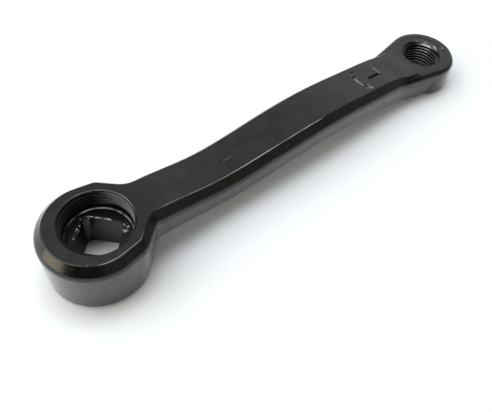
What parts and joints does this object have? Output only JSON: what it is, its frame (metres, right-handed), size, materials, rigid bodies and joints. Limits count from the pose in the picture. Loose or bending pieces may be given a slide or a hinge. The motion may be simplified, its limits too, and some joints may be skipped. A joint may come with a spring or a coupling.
{
  "type": "crank arm",
  "caption": "Left-hand crank arm for an exercise bike: a black forged arm with a square taper socket and extractor thread at the boss and a threaded eye for the pedal.",
  "frame": {"origin": "on the spindle axis, in the plane of the boss's inboard face", "axes": "+Z along the spindle axis, outboard; +X from the spindle axis towards the pedal eye"},
  "size_m": [0.1708, 0.0324, 0.0213],
  "materials": {
    "black_paint": "glossy black paint over forged steel, worn to bare metal at the socket's edges and in the threads"
  },
  "bodies": {
    "root": {"crank_arm": "black_paint"}
  },
  "joints": []
}
